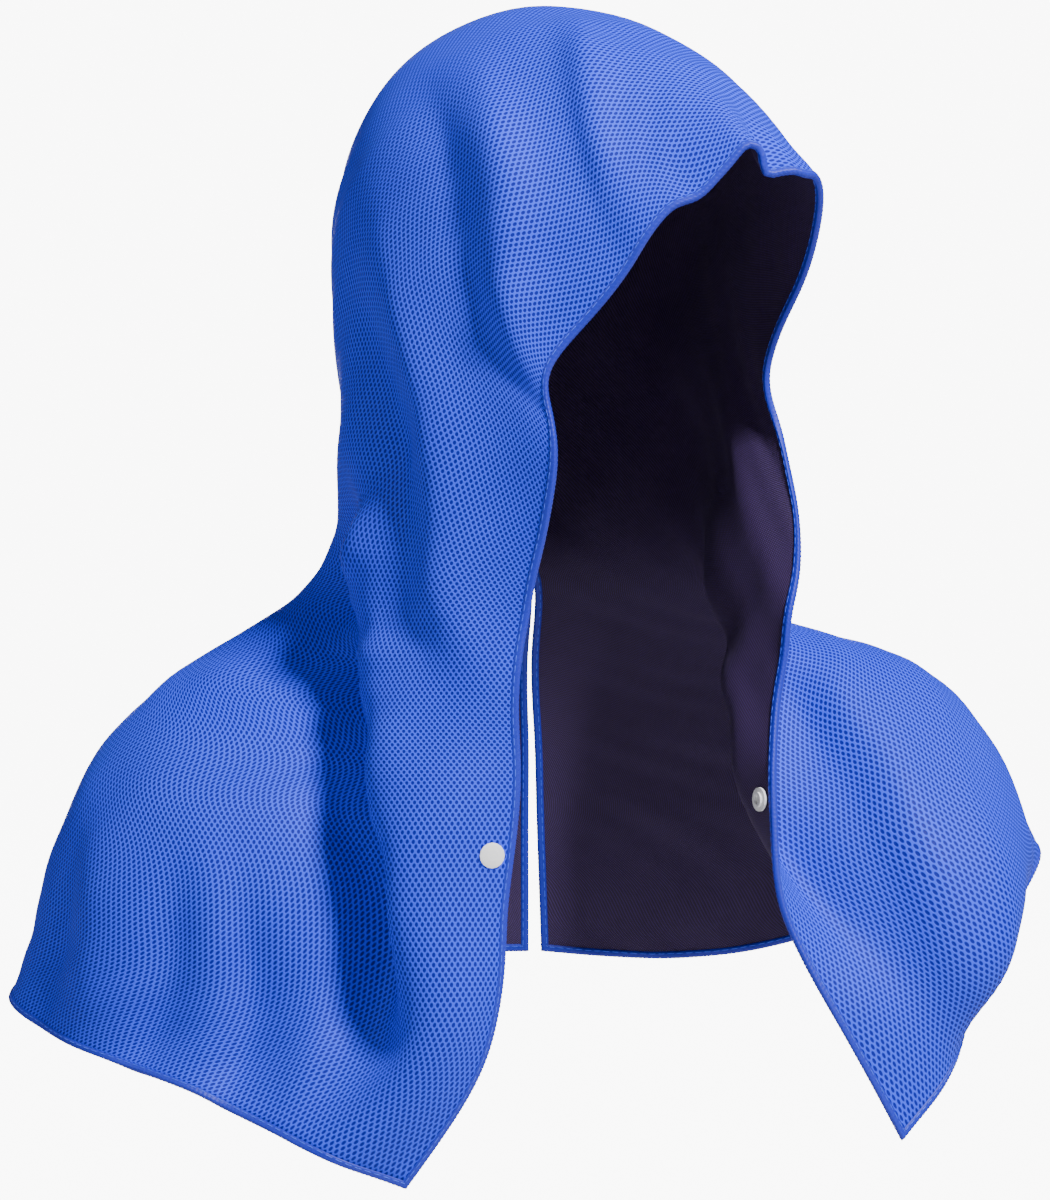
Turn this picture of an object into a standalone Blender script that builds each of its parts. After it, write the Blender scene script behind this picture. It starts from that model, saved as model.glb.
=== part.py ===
"""Hooded cooling towel, held in the form it has when it is worn, with nobody in it.

A long piece of double-faced cloth is folded over the crown. Its back edges are joined down to the
neck and open below as a slit, its front edges run from the brim down to two front corners, and its
ends lie over the shoulders as a cape.

Metres, +Z up. The wearer's chest faces -Y with the left hand on +X, and the head looks to the left.
The origin is where the crown of the head touches the inside of the hood.
"""

from collections import namedtuple
from math import cos, radians, sin

import bmesh
import bpy
import numpy as np
from mathutils import Matrix, Vector

# The cloth
CLOTH_WALL = 0.0010
LINING_WALL = 0.0010
CLOTH_GAP = 0.0003
FOLD_HEIGHT = 0.010
FOLD_POWER = 1.6
FOLD_FADE = 2.6

# The hood, measured from the crown and the axis of the head
HOOD_HALF_WIDTH = 0.109
HOOD_BACK_REACH = 0.120
BRIM_REACH = 0.203
NECK_DROP = 0.300
NOTCH_HEIGHT = 0.009

# The cape, measured from the crown and the axis of the neck
SHOULDER_REACH = 0.297
BODY_DEPTH = 0.140
CAPE_DROP = 0.653

# The overlocked edge
HEM_STRIP = 0.0050
EDGE_LEG = 0.0035
EDGE_WALL = 0.0006
EDGE_CLEARANCE = 0.0007

# The press snaps
SNAP_RADIUS = 0.0070
SNAP_CAP_HEIGHT = 0.0018
SNAP_RIM = 0.0007
POST_RADIUS = 0.0011
POST_CLEARANCE = 0.0003
SEAT_CLEARANCE = 0.0003
POST_SINK = 0.0006
STUD_RADIUS = 0.0052
STUD_BASE = 0.0012
NUB_RADIUS = 0.0022
NUB_HEIGHT = 0.0020
SOCKET_RADIUS = 0.0067
SOCKET_BASE = 0.0014
RING_OUTER = 0.0042
RING_INNER = 0.0027
RING_HEIGHT = 0.0013
SNAP_SIDES = 16
SNAP_FROM_HEM = 0.0120
SNAP_SECTIONS = {"right": -8.5, "left": 8.17}

# Round profiles as shares of a radius and of a height, from the middle outwards
CAP_DOME = ((0.0, 0.0), (0.45, 0.08), (0.82, 0.36))
NUB_NECK = 0.86
NUB_BULGE = 0.70

# How the sheet is divided: columns up to each named one, and rows between two sections
DIVISIONS = {"ridge": 3, "valley": 2, "breast": 2, "shoulder": 2, "blade": 2, "back": 1}
ROWS_PER_SECTION = 3
CURVE_STEPS = 24

# The named columns of a section, from the front hem to the back seam, and what places them
COLUMNS = ("edge", "cheek", "ridge", "valley", "breast", "shoulder", "blade", "back")
RING_ANGLES = {"ridge": 84, "valley": 70, "breast": 55, "shoulder": 39, "blade": 20, "back": 0}
CHEEK_PLACE = 0.55
CHEEK_REACH = 0.54
CHEEK_ALONG = 0.62
CHEEK_SWELL = {"right": 0.16, "left": 0.02}
BREAST_ALONG = 0.50
BLADE_OUT = 0.60
BLADE_BACK = 0.90
BLADE_DROP = 0.80
HANDS = {"right": -1, "left": 1}

# Sections round the hood, from the crown to the neck. Degrees that the head is turned; side as a share
# of the half width, back of the back reach, and both drops of the neck's drop.
HoodSection = namedtuple("HoodSection", "turn side back side_drop back_drop")
HOOD_SECTIONS = (
    HoodSection(38, 0.00, 0.87, 0.00, 0.25),
    HoodSection(38, 0.525, 0.95, 0.07, 0.36),
    HoodSection(38, 0.87, 1.00, 0.23, 0.48),
    HoodSection(37, 1.00, 0.99, 0.44, 0.63),
    HoodSection(33, 0.985, 0.93, 0.67, 0.78),
    HoodSection(20, 1.00, 0.83, 0.88, 0.94),
)
SLIT_SECTION = len(HOOD_SECTIONS)

# Where the front hem is at each of them: forward as a share of the brim's reach, side and tuck of the
# half width, drop of the neck's drop. The tuck draws the cheek in, so that the hem flares.
HemSection = namedtuple("HemSection", "forward side drop tuck")
HOOD_HEMS = {
    "right": (
        HemSection(0.99, 0.00, 0.325, 0.00),
        HemSection(0.86, 0.34, 0.41, 0.00),
        HemSection(0.74, 0.55, 0.56, 0.00),
        HemSection(0.60, 0.715, 0.707, 0.00),
        HemSection(0.655, 0.645, 0.833, 0.00),
        HemSection(0.67, 0.385, 1.00, 0.00),
    ),
    "left": (
        HemSection(0.99, 0.00, 0.325, 0.00),
        HemSection(1.00, 0.34, 0.365, 0.04),
        HemSection(0.80, 0.56, 0.54, 0.08),
        HemSection(0.573, 0.72, 0.693, 0.08),
        HemSection(0.585, 0.86, 0.857, 0.10),
        HemSection(0.53, 1.10, 1.017, 0.12),
    ),
}

# Sections round the cape, from the collar to the bottom hem. Each place is outwards as a share of the
# shoulder's reach, backwards of the body's depth, and down of the cape's drop. The swell rounds the
# breast as a share of the way from the valley to the shoulder. Each row reads as the columns are named.
CapeSection = namedtuple("CapeSection", "edge ridge valley shoulder swell")
CAPE_SECTIONS = {
    "right": (
        ((0.005, -0.93, 0.530), (0.357, -0.34, 0.518), (0.283, -0.06, 0.502), (0.407, 0.26, 0.485), 0.02),
        ((0.024, -0.93, 0.596), (0.327, -0.60, 0.594), (0.242, -0.29, 0.579), (0.545, 0.19, 0.541), 0.10),
        ((0.022, -0.93, 0.674), (0.286, -0.82, 0.674), (0.215, -0.53, 0.662), (0.757, 0.16, 0.606), 0.18),
        ((0.047, -0.91, 0.778), (0.252, -0.93, 0.775), (0.225, -0.70, 0.758), (0.882, 0.14, 0.690), 0.20),
        ((0.080, -0.89, 0.888), (0.214, -0.98, 0.886), (0.262, -0.78, 0.876), (0.946, 0.13, 0.781), 0.17),
        ((0.229, -0.84, 1.000), (0.471, -0.80, 0.956), (0.613, -0.70, 0.926), (1.000, 0.11, 0.861), 0.12),
    ),
    "left": (
        ((0.483, -0.50, 0.530), (0.385, -0.20, 0.527), (0.350, -0.02, 0.518), (0.370, 0.26, 0.497), 0.02),
        ((0.465, -0.50, 0.590), (0.370, -0.26, 0.588), (0.384, -0.12, 0.579), (0.539, 0.19, 0.544), 0.10),
        ((0.451, -0.59, 0.666), (0.385, -0.38, 0.662), (0.440, -0.27, 0.652), (0.733, 0.17, 0.570), 0.14),
        ((0.468, -0.66, 0.773), (0.500, -0.44, 0.758), (0.600, -0.46, 0.738), (0.877, 0.16, 0.628), 0.24),
        ((0.566, -0.69, 0.865), (0.680, -0.58, 0.845), (0.790, -0.56, 0.832), (0.941, 0.14, 0.689), 0.18),
        ((0.687, -0.64, 0.965), (0.770, -0.48, 0.923), (0.814, -0.30, 0.883), (0.980, 0.13, 0.741), -0.05),
    ),
}

# Where the slit's two edges are at the cape's sections: depth as a share of the body's depth, drop of the
# cape's drop, and how far each edge stands from the middle, as shares of the slit's half gap at the hem.
SLIT_HALF_GAP = 0.0054
BackSection = namedtuple("BackSection", "depth drop gap_right gap_left")
BACK_SECTIONS = (
    BackSection(0.70, 0.485, 0.34, 0.22),
    BackSection(0.84, 0.555, 0.34, 0.38),
    BackSection(0.94, 0.635, 0.34, 0.62),
    BackSection(0.985, 0.707, 0.34, 0.89),
    BackSection(1.00, 0.775, 0.34, 1.17),
    BackSection(1.005, 0.836, 0.34, 1.42),
)

# The peak of the brim and the dips beside it: the section where each is, its half width in sections, and
# how far it moves the hem to the left and up, as shares of NOTCH_HEIGHT. They fade out across the sheet.
Pleat = namedtuple("Pleat", "section half_width left up")
BRIM_PLEATS = (
    Pleat(-0.72, 0.26, 0.00, -0.80),
    Pleat(-0.10, 0.20, -0.30, 0.60),
    Pleat(0.27, 0.17, -0.90, -1.10),
    Pleat(0.60, 0.26, 0.00, -0.75),
)
PLEAT_REACH = 0.10
SEAM_FADE = 0.12

# Folds that run down the sheet: the sections where each begins and ends, its crest's places across the sheet
# at the start, the middle and the end, how wide it falls to the front and to the back, all as shares of the
# sheet's width, and its height as a share of FOLD_HEIGHT. FOLD_POWER makes the crest sharp, FOLD_FADE its ends.
Fold = namedtuple("Fold", "begins ends place_first place_middle place_last front_width back_width height")
FOLDS = (
    Fold(-0.2, -1.8, 0.45, 0.23, 0.03, 0.100, 0.045, 0.80),
    Fold(-1.0, -3.8, 0.47, 0.19, 0.02, 0.085, 0.080, 1.20),
    Fold(-2.4, -7.6, 0.48, 0.205, -0.02, 0.090, 0.060, 1.10),
    Fold(-8.8, -11.1, 0.44, 0.385, 0.32, 0.055, 0.040, 0.55),
    Fold(-8.8, -11.1, 0.34, 0.27, 0.195, 0.050, 0.038, 0.65),
    Fold(-8.8, -11.1, 0.31, 0.205, 0.10, 0.045, 0.035, 0.60),
    Fold(6.4, 10.8, 0.35, 0.225, 0.12, 0.045, 0.080, 0.85),
    Fold(8.6, 11.0, 0.30, 0.215, 0.10, 0.035, 0.060, 0.45),
)


def hood_row(hand, index):
    """One section round the hood as points by column name, from the hem to the back seam."""
    section = HOOD_SECTIONS[index]
    hem = HOOD_HEMS[hand][index]
    turn = radians(section.turn)
    forward = np.array((sin(turn), -cos(turn), 0.0))
    sideways = HANDS[hand] * np.array((cos(turn), sin(turn), 0.0))
    up = np.array((0.0, 0.0, 1.0))
    side = section.side * HOOD_HALF_WIDTH
    back = section.back * HOOD_BACK_REACH
    side_drop = section.side_drop * NECK_DROP
    back_drop = section.back_drop * NECK_DROP
    reach = hem.forward * BRIM_REACH
    edge = reach * forward + hem.side * HOOD_HALF_WIDTH * sideways - hem.drop * NECK_DROP * up
    temple = side * sideways - side_drop * up
    brow = temple + CHEEK_REACH * reach * forward
    t = CHEEK_PLACE
    cheek = (1 - t) ** 2 * temple + 2 * t * (1 - t) * brow + t ** 2 * edge
    points = {"edge": edge, "cheek": cheek - hem.tuck * HOOD_HALF_WIDTH * sideways}
    for name, degrees in RING_ANGLES.items():
        around = sin(radians(degrees))
        drop = back_drop + (side_drop - back_drop) * around
        points[name] = side * around * sideways - back * cos(radians(degrees)) * forward - drop * up
    return points


def cape_point(hand, shares):
    """A point of the cape from its shares of the shoulder's reach, the body's depth and the drop."""
    out, backwards, down = shares
    return np.array((HANDS[hand] * out * SHOULDER_REACH, backwards * BODY_DEPTH, -down * CAPE_DROP))


def swollen(first, second, place, share):
    """A place between two points, pushed towards the chest's side by a share of their distance."""
    along = second - first
    push = np.array((along[1], -along[0], 0.0))
    if push[1] > 0:
        push = -push
    return first + place * along + share * push


def cape_row(hand, index):
    """One section round the cape as points by column name, from the hem to the slit."""
    section = CapeSection(*CAPE_SECTIONS[hand][index])
    rear = BACK_SECTIONS[index]
    named = ("edge", "ridge", "valley", "shoulder")
    points = {name: cape_point(hand, getattr(section, name)) for name in named}
    points["cheek"] = swollen(points["edge"], points["ridge"], CHEEK_ALONG, CHEEK_SWELL[hand])
    points["breast"] = swollen(points["valley"], points["shoulder"], BREAST_ALONG, section.swell)
    gap = rear.gap_right if hand == "right" else rear.gap_left
    back = np.array((HANDS[hand] * gap * SLIT_HALF_GAP, rear.depth * BODY_DEPTH, -rear.drop * CAPE_DROP))
    shoulder = points["shoulder"]
    blade_depth = shoulder[1] + BLADE_BACK * (back[1] - shoulder[1])
    blade_height = shoulder[2] + BLADE_DROP * (back[2] - shoulder[2])
    points["blade"] = np.array((BLADE_OUT * shoulder[0], blade_depth, blade_height))
    points["back"] = back
    return points


def section_net():
    """The points of every section, from the right bottom hem over the crown to the left one."""
    hands = {}
    for hand in HANDS:
        hood = [hood_row(hand, index) for index in range(len(HOOD_SECTIONS))]
        cape = [cape_row(hand, index) for index in range(len(BACK_SECTIONS))]
        hands[hand] = hood + cape
    rows = hands["right"][::-1] + hands["left"][1:]
    return np.array([[row[name] for name in COLUMNS] for row in rows])


def spline_basis(knots, places):
    """Weights that turn the values at the knots into a natural cubic's values at the places."""
    gaps = np.diff(knots)
    count = len(knots)
    system = np.eye(count)
    slopes = np.zeros((count, count))
    for k in range(1, count - 1):
        system[k, k - 1:k + 2] = gaps[k - 1], 2 * (gaps[k - 1] + gaps[k]), gaps[k]
        slopes[k, k - 1:k + 2] = 6 / gaps[k - 1], -6 / gaps[k - 1] - 6 / gaps[k], 6 / gaps[k]
    bends = np.linalg.solve(system, slopes)
    values = np.eye(count)
    span = np.clip(np.searchsorted(knots, places, side="right") - 1, 0, count - 2)
    width = gaps[span][:, None]
    t = (places - knots[span])[:, None] / width
    s = 1 - t
    bend = width ** 2 / 6 * ((s ** 3 - s) * bends[span] + (t ** 3 - t) * bends[span + 1])
    return s * values[span] + t * values[span + 1] + bend


def lengths_along(points):
    """How far along its polyline each point lies."""
    steps = np.linalg.norm(np.diff(points, axis=0), axis=1)
    return np.concatenate(([0.0], np.cumsum(steps)))


def across(points):
    """One section's columns: a strip beside each hem, the snap's band, and even shares between names."""
    knots = lengths_along(points)
    steps = [np.linspace(a, b, CURVE_STEPS, endpoint=False) for a, b in zip(knots, knots[1:])]
    fine = np.concatenate(steps + [knots[-1:]])
    length = lengths_along(spline_basis(knots, fine) @ points)
    named = length[::CURVE_STEPS]
    start = 2 * SNAP_FROM_HEM - HEM_STRIP
    places = [0.0, HEM_STRIP, start]
    for name, count in DIVISIONS.items():
        end = named[COLUMNS.index(name)]
        places += [start + (end - start) * (k + 1) / count for k in range(count)]
        start = end
    places.insert(-1, named[-1] - HEM_STRIP)
    return spline_basis(knots, np.interp(places, length, fine)) @ points


def fold_heights(sections, shares):
    """How far each point of the sheet is lifted by the folds."""
    lift = np.zeros_like(shares)
    for fold in FOLDS:
        run = (sections - fold.begins) / (fold.ends - fold.begins)
        fade = np.clip(FOLD_FADE * np.minimum(run, 1 - run), 0.0, 1.0)
        crest = fade ** 2 * (3 - 2 * fade)
        place = fold.place_first * (1 - run) * (1 - 2 * run) + fold.place_last * run * (2 * run - 1)
        place += fold.place_middle * 4 * run * (1 - run)
        off = shares - place[:, None]
        off /= np.where(off < 0, fold.front_width, fold.back_width)
        lift += fold.height * FOLD_HEIGHT * crest[:, None] * np.exp(-np.abs(off) ** FOLD_POWER)
    seam_fade = np.clip((1 - shares) / SEAM_FADE, 0.0, 1.0)
    return lift * seam_fade


def grid_normals(grid):
    """The outward normals of a grid of points."""
    down = np.gradient(grid, axis=0)
    over = np.gradient(grid, axis=1)
    normals = np.cross(down, over)
    return normals / np.linalg.norm(normals, axis=2, keepdims=True)


def unit(vectors):
    """The same vectors at length one."""
    return vectors / np.linalg.norm(vectors, axis=-1, keepdims=True)


def brim_pleats(grid, sections, shares):
    """Pinches the brim's hem into its peak and the dips to either side of it."""
    for pleat in BRIM_PLEATS:
        place = (sections[:, None] - pleat.section) / pleat.half_width
        fade = np.exp(-place ** 2 - (shares / PLEAT_REACH) ** 2)
        grid[..., 0] += pleat.left * NOTCH_HEIGHT * fade
        grid[..., 2] += pleat.up * NOTCH_HEIGHT * fade


def trim_strips(grid):
    """Makes the strip beside each hem exactly as wide as it should be."""
    grid[:, 1] = grid[:, 0] + HEM_STRIP * unit(grid[:, 1] - grid[:, 0])
    grid[:, -2] = grid[:, -1] + HEM_STRIP * unit(grid[:, -2] - grid[:, -1])
    grid[1] = grid[0] + HEM_STRIP * unit(grid[2] - grid[0])
    grid[-2] = grid[-1] + HEM_STRIP * unit(grid[-3] - grid[-1])


def sheet_grid():
    """The middle of the sheet as rows along its length and columns across it, and each row's section."""
    net = np.array([across(points) for points in section_net()])
    chords = np.linalg.norm(np.diff(net, axis=0), axis=2).mean(axis=1)
    stations = np.concatenate(([0.0], np.cumsum(chords)))
    rows = [np.linspace(a, b, ROWS_PER_SECTION, endpoint=False) for a, b in zip(stations, stations[1:])]
    ends = stations[[0, -1]] + (HEM_STRIP, -HEM_STRIP)
    places = np.sort(np.concatenate(rows + [stations[-1:], ends]))
    middle = (len(stations) - 1) / 2
    sections = np.interp(places, stations, np.arange(len(stations)) - middle)
    grid = np.einsum("pk,kcd->pcd", spline_basis(stations, places), net)
    widths = np.array([lengths_along(row) for row in grid])
    shares = widths / widths[:, -1:]
    grid += grid_normals(grid) * fold_heights(sections, shares)[..., None]
    brim_pleats(grid, sections, shares)
    trim_strips(grid)
    joined = np.abs(sections) < SLIT_SECTION - 0.01
    seam = (grid[:, -1] + grid[::-1, -1]) / 2
    grid[joined, -1] = seam[joined]
    return grid, sections, joined


def snap_frame(grid, sections, section):
    """Flattens the sheet from the hem to behind a snap, and gives the seat's middle and outward normal."""
    row = int(np.searchsorted(sections, section)) - 1
    patch = grid[row:row + 2, :3]
    centre = patch[:, 1:].mean(axis=(0, 1))
    normal = unit(np.cross(patch[1, 2] - patch[0, 0], patch[0, 2] - patch[1, 0]))
    patch -= ((patch - centre) @ normal)[..., None] * normal
    return Vector(centre), Vector(normal)


def make_material(name, colour, roughness):
    """A plain surface for one sub-part."""
    material = bpy.data.materials.new(name)
    material.use_nodes = True
    shader = material.node_tree.nodes["Principled BSDF"]
    shader.inputs["Base Color"].default_value = (*colour, 1.0)
    shader.inputs["Roughness"].default_value = roughness
    shader.inputs["Metallic"].default_value = 0.0
    material.diffuse_color = (*colour, 1.0)
    return material


def make_object(name, mesh, material):
    """An object in the scene with its material."""
    mesh.materials.append(material)
    thing = bpy.data.objects.new(name, mesh)
    bpy.context.collection.objects.link(thing)
    return thing


def sheet_mesh(name, grid, joined):
    """The grid as a mesh whose two sides share their points along the back seam."""
    rows, columns = grid.shape[:2]
    index = np.arange(rows * columns).reshape(rows, columns)
    for row in range(rows // 2):
        if joined[row]:
            index[rows - 1 - row, -1] = index[row, -1]
    used, inverse = np.unique(index, return_inverse=True)
    index = inverse.reshape(rows, columns)
    faces = []
    for row in range(rows - 1):
        for column in range(columns - 1):
            near = [index[row, column], index[row + 1, column]]
            corners = near + [index[row + 1, column + 1], index[row, column + 1]]
            if row in (0, rows - 2):
                corners = corners[1:] + corners[:1]
            faces += [corners[:3], [corners[2], corners[3], corners[0]]]
    mesh = bpy.data.meshes.new(name)
    mesh.from_pydata(grid.reshape(-1, 3)[used].tolist(), [], faces)
    mesh.update()
    normals = np.array([vertex.normal for vertex in mesh.vertices])
    return mesh, normals, index


def cloth_layer(name, grid, joined, side, wall, material):
    """One face of the double cloth as a closed wall, on one side of the sheet's middle."""
    mesh, normals, index = sheet_mesh(name, grid, joined)
    for vertex, normal in zip(mesh.vertices, normals):
        vertex.co += Vector(normal) * side * CLOTH_GAP / 2
    layer = make_object(name, mesh, material)
    solid = layer.modifiers.new("wall", "SOLIDIFY")
    solid.thickness = wall
    solid.offset = side
    solid.use_even_offset = False
    return layer


def hem_path(grid, sections):
    """The grid places round the cut edges, from one side of the slit's top to the other."""
    last = grid.shape[1] - 1
    bottom = grid.shape[0] - 1
    top = int(np.argmin(np.abs(sections + SLIT_SECTION)))
    path = [(row, last) for row in range(top, 0, -1)]
    path += [(0, column) for column in range(last, 0, -1)]
    path += [(row, 0) for row in range(bottom)]
    path += [(bottom, column) for column in range(last)]
    path += [(row, last) for row in range(bottom, bottom - top - 1, -1)]
    return path


def inward(grid, row, column):
    """The way from the hem into the cloth, lengthened at a corner so that the strip keeps its width."""
    last_row = grid.shape[0] - 1
    last_column = grid.shape[1] - 1
    here = grid[row, column]
    way = np.zeros(3)
    if column in (0, last_column):
        way += unit(grid[row, 1 if column == 0 else last_column - 1] - here)
    if row in (0, last_row):
        way += unit(grid[1 if row == 0 else last_row - 1, column] - here)
    return way


def edge_overlock(grid, sections, joined, material):
    """The overlocked edge, a channel that the cut edges of both cloths sit in."""
    mesh, normals, index = sheet_mesh("middle", grid, joined)
    bpy.data.meshes.remove(mesh)
    inner = CLOTH_GAP / 2 + max(CLOTH_WALL, LINING_WALL) + EDGE_CLEARANCE
    outer = inner + EDGE_WALL
    beyond = -EDGE_CLEARANCE - EDGE_WALL
    profile = (
        (EDGE_LEG, outer), (beyond, outer), (beyond, -outer), (EDGE_LEG, -outer),
        (EDGE_LEG, -inner), (-EDGE_CLEARANCE, -inner), (-EDGE_CLEARANCE, inner), (EDGE_LEG, inner),
    )
    work = bmesh.new()
    rings = []
    for row, column in hem_path(grid, sections):
        here = grid[row, column]
        way = inward(grid, row, column)
        normal = normals[index[row, column]]
        rings.append([work.verts.new(here + depth * way + height * normal) for depth, height in profile])
    for first, second in zip(rings, rings[1:]):
        for k in range(len(first)):
            following = (k + 1) % len(first)
            near, far = (following, k) if k % 4 == 0 else (k, following)
            work.faces.new((first[near], second[near], second[far]))
            work.faces.new((first[near], second[far], first[far]))
    work.faces.new(rings[0])
    work.faces.new(rings[-1][::-1])
    bmesh.ops.recalc_face_normals(work, faces=work.faces)
    mesh = bpy.data.meshes.new("edge_overlock")
    work.to_mesh(mesh)
    work.free()
    return make_object("edge_overlock", mesh, material)


def lathe(name, profile, centre, normal, material):
    """A closed round piece from its (radius, height) profile, turned about the snap's axis."""
    work = bmesh.new()
    points = [work.verts.new((radius, 0.0, height)) for radius, height in profile]
    edges = [work.edges.new(pair) for pair in zip(points, points[1:])]
    bmesh.ops.spin(work, geom=points + edges, cent=(0, 0, 0), axis=(0, 0, 1), angle=radians(360),
                   steps=SNAP_SIDES, use_merge=True)
    bmesh.ops.remove_doubles(work, verts=work.verts, dist=1e-6)
    bmesh.ops.recalc_face_normals(work, faces=work.faces)
    mesh = bpy.data.meshes.new(name)
    work.to_mesh(mesh)
    work.free()
    piece = make_object(name, mesh, material)
    piece.matrix_world = Matrix.Translation(centre) @ normal.to_track_quat("Z", "Y").to_matrix().to_4x4()
    return piece


def snap_levels():
    """The heights of the seats on both faces of the double cloth, from its middle."""
    outside = CLOTH_GAP / 2 + CLOTH_WALL + SEAT_CLEARANCE
    inside = -(CLOTH_GAP / 2 + LINING_WALL + SEAT_CLEARANCE)
    return outside, inside


def snap_cap(name, centre, normal, material):
    """The smooth cap on the outside, with the post that goes through both cloths."""
    seat, inside = snap_levels()
    top = seat + SNAP_CAP_HEIGHT
    dome = tuple((out * SNAP_RADIUS, top - down * SNAP_CAP_HEIGHT) for out, down in CAP_DOME)
    profile = dome + (
        (SNAP_RADIUS, seat + SNAP_RIM), (SNAP_RADIUS, seat), (POST_RADIUS, seat),
        (POST_RADIUS, inside - POST_SINK), (0.0, inside - POST_SINK),
    )
    return lathe(name, profile, centre, normal, material)


def post_bore(seat):
    """The blind bore that takes the post, from its bottom to the seat's rim."""
    radius = POST_RADIUS + POST_CLEARANCE
    bottom = seat - POST_SINK - POST_CLEARANCE
    return ((0.0, bottom), (radius, bottom), (radius, seat))


def snap_stud(name, centre, normal, material):
    """The stud on the inside of the right edge."""
    seat = snap_levels()[1]
    base = seat - STUD_BASE
    profile = post_bore(seat) + (
        (STUD_RADIUS, seat), (STUD_RADIUS, base), (NUB_NECK * NUB_RADIUS, base),
        (NUB_RADIUS, base - NUB_BULGE * NUB_HEIGHT),
        (NUB_BULGE * NUB_RADIUS, base - NUB_HEIGHT), (0.0, base - NUB_HEIGHT),
    )
    return lathe(name, profile, centre, normal, material)


def snap_socket(name, centre, normal, material):
    """The socket on the inside of the left edge, a disc with a raised ring round its well."""
    seat = snap_levels()[1]
    base = seat - SOCKET_BASE
    profile = post_bore(seat) + (
        (SOCKET_RADIUS, seat), (SOCKET_RADIUS, base), (RING_OUTER, base),
        (RING_OUTER, base - RING_HEIGHT), (RING_INNER, base - RING_HEIGHT), (RING_INNER, base), (0.0, base),
    )
    return lathe(name, profile, centre, normal, material)


def post_hole(centre, normal, layers):
    """Cuts the hole for a snap's post through both cloths."""
    seat, inside = snap_levels()
    work = bmesh.new()
    bmesh.ops.create_cone(work, cap_ends=True, segments=SNAP_SIDES, radius1=POST_RADIUS + POST_CLEARANCE,
                          radius2=POST_RADIUS + POST_CLEARANCE, depth=2 * (seat - inside))
    mesh = bpy.data.meshes.new("post_hole")
    work.to_mesh(mesh)
    work.free()
    cutter = bpy.data.objects.new("post_hole", mesh)
    bpy.context.collection.objects.link(cutter)
    cutter.matrix_world = Matrix.Translation(centre) @ normal.to_track_quat("Z", "Y").to_matrix().to_4x4()
    cutter.hide_render = True
    cutter.display_type = "WIRE"
    for layer in layers:
        cut = layer.modifiers.new("post_hole", "BOOLEAN")
        cut.operation = "DIFFERENCE"
        cut.object = cutter


def build():
    """The whole towel."""
    for thing in list(bpy.data.objects):
        bpy.data.objects.remove(thing, do_unlink=True)
    mesh_blue = make_material("mesh_blue", (0.020, 0.090, 0.800), 0.75)
    lining_dark = make_material("lining_dark", (0.013, 0.006, 0.022), 0.85)
    edge_blue = make_material("edge_blue", (0.010, 0.060, 0.650), 0.70)
    snap_white = make_material("snap_white", (0.880, 0.880, 0.890), 0.30)
    grid, sections, joined = sheet_grid()
    frames = {hand: snap_frame(grid, sections, section) for hand, section in SNAP_SECTIONS.items()}
    layers = (
        cloth_layer("mesh_cloth", grid, joined, 1, CLOTH_WALL, mesh_blue),
        cloth_layer("lining", grid, joined, -1, LINING_WALL, lining_dark),
    )
    edge_overlock(grid, sections, joined, edge_blue)
    for hand, (centre, normal) in frames.items():
        post_hole(centre, normal, layers)
        snap_cap(f"snap_cap_{hand}", centre, normal, snap_white)
    snap_stud("snap_stud_right", *frames["right"], snap_white)
    snap_socket("snap_socket_left", *frames["left"], snap_white)


build()
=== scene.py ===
"""The looks of the hooded cooling towel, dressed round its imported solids."""

from collections import namedtuple
from math import atan, cos, pi, radians, sin

import bpy
import numpy as np
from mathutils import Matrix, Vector


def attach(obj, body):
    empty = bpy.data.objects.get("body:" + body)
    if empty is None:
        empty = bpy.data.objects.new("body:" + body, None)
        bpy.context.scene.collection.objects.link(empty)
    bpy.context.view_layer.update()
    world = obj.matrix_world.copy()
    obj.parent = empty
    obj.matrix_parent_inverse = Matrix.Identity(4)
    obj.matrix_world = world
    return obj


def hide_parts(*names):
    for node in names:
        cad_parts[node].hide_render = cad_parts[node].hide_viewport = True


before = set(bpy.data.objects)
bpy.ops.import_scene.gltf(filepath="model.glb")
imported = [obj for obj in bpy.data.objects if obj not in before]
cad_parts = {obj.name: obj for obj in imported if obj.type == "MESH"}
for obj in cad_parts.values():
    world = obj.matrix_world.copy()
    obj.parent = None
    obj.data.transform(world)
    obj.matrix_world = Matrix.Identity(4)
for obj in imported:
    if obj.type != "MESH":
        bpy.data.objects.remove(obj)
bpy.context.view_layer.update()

# The cloth
CLOTH_WALL = 0.0010
LINING_WALL = 0.0010
CLOTH_GAP = 0.0003
FOLD_HEIGHT = 0.010
FOLD_POWER = 1.6
FOLD_FADE = 2.6

# The hood, measured from the crown and the axis of the head
HOOD_HALF_WIDTH = 0.109
HOOD_BACK_REACH = 0.120
BRIM_REACH = 0.203
NECK_DROP = 0.300
NOTCH_HEIGHT = 0.009

# The cape, measured from the crown and the axis of the neck
SHOULDER_REACH = 0.297
BODY_DEPTH = 0.140
CAPE_DROP = 0.653

# The named columns of a section, from the front hem to the back seam, and what places them
COLUMNS = ("edge", "cheek", "ridge", "valley", "breast", "shoulder", "blade", "back")
RING_ANGLES = {"ridge": 84, "valley": 70, "breast": 55, "shoulder": 39, "blade": 20, "back": 0}
CHEEK_PLACE = 0.55
CHEEK_REACH = 0.54
CHEEK_ALONG = 0.62
CHEEK_SWELL = {"right": 0.16, "left": 0.02}
BREAST_ALONG = 0.50
BLADE_OUT = 0.60
BLADE_BACK = 0.90
BLADE_DROP = 0.80
HANDS = {"right": -1, "left": 1}

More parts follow.
